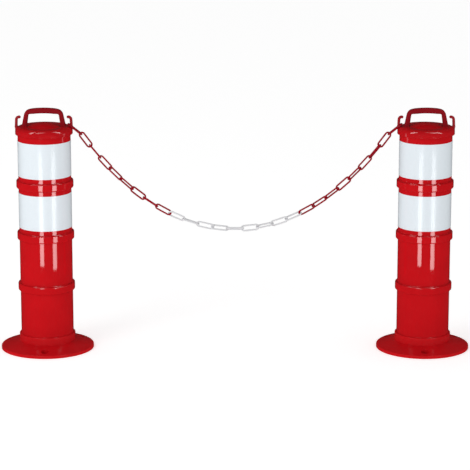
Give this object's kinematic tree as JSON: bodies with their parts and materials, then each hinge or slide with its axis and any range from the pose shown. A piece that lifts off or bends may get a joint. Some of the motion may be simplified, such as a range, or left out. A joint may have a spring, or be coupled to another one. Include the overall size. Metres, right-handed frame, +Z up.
{
  "type": "chain stanchion set",
  "caption": "Two ringed plastic posts on round screw-down feet, with reflective bands, carrying handles and hooks, joined by a hanging plastic link chain.",
  "frame": {"origin": "on the floor, midway between the two posts", "axes": "+X along the chain from post A to post B, +Z up, -Y towards the viewer"},
  "size_m": [1.445, 0.285, 0.75],
  "materials": {
    "post_red": "moulded polyethylene, smooth gloss, signal red",
    "cap_red": "injection moulded, gloss red",
    "handle_red": "injection moulded, satin dark red",
    "reflective_white": "white retroreflective sheeting",
    "chain_red": "moulded plastic chain, red",
    "chain_white": "moulded plastic chain, white"
  },
  "bodies": {
    "post_a": {"foot_a": "post_red", "tube_a": "post_red", "band_upper_a": "reflective_white", "band_lower_a": "reflective_white", "cap_a": "cap_red", "handle_a": "handle_red", "hook_chain_a": "cap_red", "hook_spare_a": "cap_red", "link_01": "chain_red"},
    "post_b": {"foot_b": "post_red", "tube_b": "post_red", "band_upper_b": "reflective_white", "band_lower_b": "reflective_white", "cap_b": "cap_red", "handle_b": "handle_red", "hook_chain_b": "cap_red", "hook_spare_b": "cap_red", "link_27": "chain_red"},
    "link_02": {"link_02": "chain_red"},
    "link_03": {"link_03": "chain_red"},
    "link_04": {"link_04": "chain_red"},
    "link_05": {"link_05": "chain_red"},
    "link_06": {"link_06": "chain_red"},
    "link_07": {"link_07": "chain_red"},
    "link_08": {"link_08": "chain_red"},
    "link_09": {"link_09": "chain_red"},
    "link_10": {"link_10": "chain_white"},
    "link_11": {"link_11": "chain_white"},
    "link_12": {"link_12": "chain_white"},
    "link_13": {"link_13": "chain_white"},
    "link_14": {"link_14": "chain_white"},
    "link_15": {"link_15": "chain_white"},
    "link_16": {"link_16": "chain_white"},
    "link_17": {"link_17": "chain_white"},
    "link_18": {"link_18": "chain_white"},
    "link_19": {"link_19": "chain_red"},
    "link_20": {"link_20": "chain_red"},
    "link_21": {"link_21": "chain_red"},
    "link_22": {"link_22": "chain_red"},
    "link_23": {"link_23": "chain_red"},
    "link_24": {"link_24": "chain_red"},
    "link_25": {"link_25": "chain_red"},
    "link_26": {"link_26": "chain_red"}
  },
  "joints": [
    {"name": "post_b_distance", "type": "slide", "parent": "post_a", "child": "post_b", "axis": [1, 0, 0], "range_m": [-0.15, 0]},
    {"name": "chain_swing", "type": "hinge", "parent": "post_a", "child": "link_02", "pos_m": [-0.46733, 0, 0.67059], "axis": [1, 0, 0], "range_deg": [-15, 15]},
    {"name": "chain_swing_b", "type": "hinge", "parent": "post_b", "child": "link_26", "pos_m": [0.46733, 0, 0.67059], "axis": [1, 0, 0], "range_deg": [-15, 15]},
    {"name": "link_03_turn", "type": "hinge", "parent": "link_02", "child": "link_03", "pos_m": [-0.43989, 0, 0.63367], "axis": [0, 1, 0], "range_deg": [0, 14.08]},
    {"name": "link_04_turn", "type": "hinge", "parent": "link_02", "child": "link_04", "pos_m": [-0.43898, 0, 0.63223], "axis": [0, 1, 0], "range_deg": [0, 14.62]},
    {"name": "link_05_turn", "type": "hinge", "parent": "link_02", "child": "link_05", "pos_m": [-0.43738, 0, 0.62978], "axis": [0, 1, 0], "range_deg": [0, 15.11]},
    {"name": "link_06_turn", "type": "hinge", "parent": "link_02", "child": "link_06", "pos_m": [-0.4355, 0, 0.62706], "axis": [0, 1, 0], "range_deg": [0, 15.49]},
    {"name": "link_07_turn", "type": "hinge", "parent": "link_02", "child": "link_07", "pos_m": [-0.43417, 0, 0.62524], "axis": [0, 1, 0], "range_deg": [0, 15.69]},
    {"name": "link_08_turn", "type": "hinge", "parent": "link_02", "child": "link_08", "pos_m": [-0.43501, 0, 0.62632], "axis": [0, 1, 0], "range_deg": [0, 15.59]},
    {"name": "link_09_turn", "type": "hinge", "parent": "link_02", "child": "link_09", "pos_m": [-0.44123, 0, 0.63384], "axis": [0, 1, 0], "range_deg": [0, 15.04]},
    {"name": "link_10_turn", "type": "hinge", "parent": "link_02", "child": "link_10", "pos_m": [-0.45975, 0, 0.65476], "axis": [0, 1, 0], "range_deg": [0, 13.84]},
    {"name": "link_11_turn", "type": "hinge", "parent": "link_02", "child": "link_11", "pos_m": [-0.50729, 0, 0.70481], "axis": [0, 1, 0], "range_deg": [0, 11.78]},
    {"name": "link_12_turn", "type": "hinge", "parent": "link_02", "child": "link_12", "pos_m": [-0.63465, 0, 0.83002], "axis": [0, 1, 0], "range_deg": [0, 8.7]},
    {"name": "link_13_turn", "type": "hinge", "parent": "link_02", "child": "link_13", "pos_m": [-1.09546, 0, 1.2571], "axis": [0, 1, 0], "range_deg": [0, 4.66]},
    {"name": "link_14_drop", "type": "slide", "parent": "link_02", "child": "link_14", "axis": [-0.666, 0, -0.7459], "range_m": [0, 0.1128]},
    {"name": "link_15_turn", "type": "hinge", "parent": "link_26", "child": "link_15", "pos_m": [1.09546, 0, 1.2571], "axis": [0, 1, 0], "range_deg": [-4.66, 0]},
    {"name": "link_16_turn", "type": "hinge", "parent": "link_26", "child": "link_16", "pos_m": [0.63465, 0, 0.83002], "axis": [0, 1, 0], "range_deg": [-8.7, 0]},
    {"name": "link_17_turn", "type": "hinge", "parent": "link_26", "child": "link_17", "pos_m": [0.50729, 0, 0.70481], "axis": [0, 1, 0], "range_deg": [-11.78, 0]},
    {"name": "link_18_turn", "type": "hinge", "parent": "link_26", "child": "link_18", "pos_m": [0.45975, 0, 0.65476], "axis": [0, 1, 0], "range_deg": [-13.84, 0]},
    {"name": "link_19_turn", "type": "hinge", "parent": "link_26", "child": "link_19", "pos_m": [0.44123, 0, 0.63384], "axis": [0, 1, 0], "range_deg": [-15.04, 0]},
    {"name": "link_20_turn", "type": "hinge", "parent": "link_26", "child": "link_20", "pos_m": [0.43501, 0, 0.62632], "axis": [0, 1, 0], "range_deg": [-15.59, 0]},
    {"name": "link_21_turn", "type": "hinge", "parent": "link_26", "child": "link_21", "pos_m": [0.43417, 0, 0.62524], "axis": [0, 1, 0], "range_deg": [-15.69, 0]},
    {"name": "link_22_turn", "type": "hinge", "parent": "link_26", "child": "link_22", "pos_m": [0.4355, 0, 0.62706], "axis": [0, 1, 0], "range_deg": [-15.49, 0]},
    {"name": "link_23_turn", "type": "hinge", "parent": "link_26", "child": "link_23", "pos_m": [0.43738, 0, 0.62978], "axis": [0, 1, 0], "range_deg": [-15.11, 0]},
    {"name": "link_24_turn", "type": "hinge", "parent": "link_26", "child": "link_24", "pos_m": [0.43898, 0, 0.63223], "axis": [0, 1, 0], "range_deg": [-14.62, 0]},
    {"name": "link_25_turn", "type": "hinge", "parent": "link_26", "child": "link_25", "pos_m": [0.43989, 0, 0.63367], "axis": [0, 1, 0], "range_deg": [-14.08, 0]}
  ],
  "couplings": [
    {"joint": "chain_swing_b", "follows": "chain_swing", "ratio": 1},
    {"joint": "link_03_turn", "follows": "post_b_distance", "rad_per_m": -1.6366},
    {"joint": "link_04_turn", "follows": "post_b_distance", "rad_per_m": -1.6995},
    {"joint": "link_05_turn", "follows": "post_b_distance", "rad_per_m": -1.7562},
    {"joint": "link_06_turn", "follows": "post_b_distance", "rad_per_m": -1.8008},
    {"joint": "link_07_turn", "follows": "post_b_distance", "rad_per_m": -1.8241},
    {"joint": "link_08_turn", "follows": "post_b_distance", "rad_per_m": -1.8128},
    {"joint": "link_09_turn", "follows": "post_b_distance", "rad_per_m": -1.7488},
    {"joint": "link_10_turn", "follows": "post_b_distance", "rad_per_m": -1.6089},
    {"joint": "link_11_turn", "follows": "post_b_distance", "rad_per_m": -1.3686},
    {"joint": "link_12_turn", "follows": "post_b_distance", "rad_per_m": -1.0107},
    {"joint": "link_13_turn", "follows": "post_b_distance", "rad_per_m": -0.54077},
    {"joint": "link_14_drop", "follows": "post_b_distance", "ratio": -0.75072},
    {"joint": "link_15_turn", "follows": "post_b_distance", "rad_per_m": 0.54077},
    {"joint": "link_16_turn", "follows": "post_b_distance", "rad_per_m": 1.0107},
    {"joint": "link_17_turn", "follows": "post_b_distance", "rad_per_m": 1.3686},
    {"joint": "link_18_turn", "follows": "post_b_distance", "rad_per_m": 1.6089},
    {"joint": "link_19_turn", "follows": "post_b_distance", "rad_per_m": 1.7488},
    {"joint": "link_20_turn", "follows": "post_b_distance", "rad_per_m": 1.8128},
    {"joint": "link_21_turn", "follows": "post_b_distance", "rad_per_m": 1.8241},
    {"joint": "link_22_turn", "follows": "post_b_distance", "rad_per_m": 1.8008},
    {"joint": "link_23_turn", "follows": "post_b_distance", "rad_per_m": 1.7562},
    {"joint": "link_24_turn", "follows": "post_b_distance", "rad_per_m": 1.6995},
    {"joint": "link_25_turn", "follows": "post_b_distance", "rad_per_m": 1.6366}
  ]
}
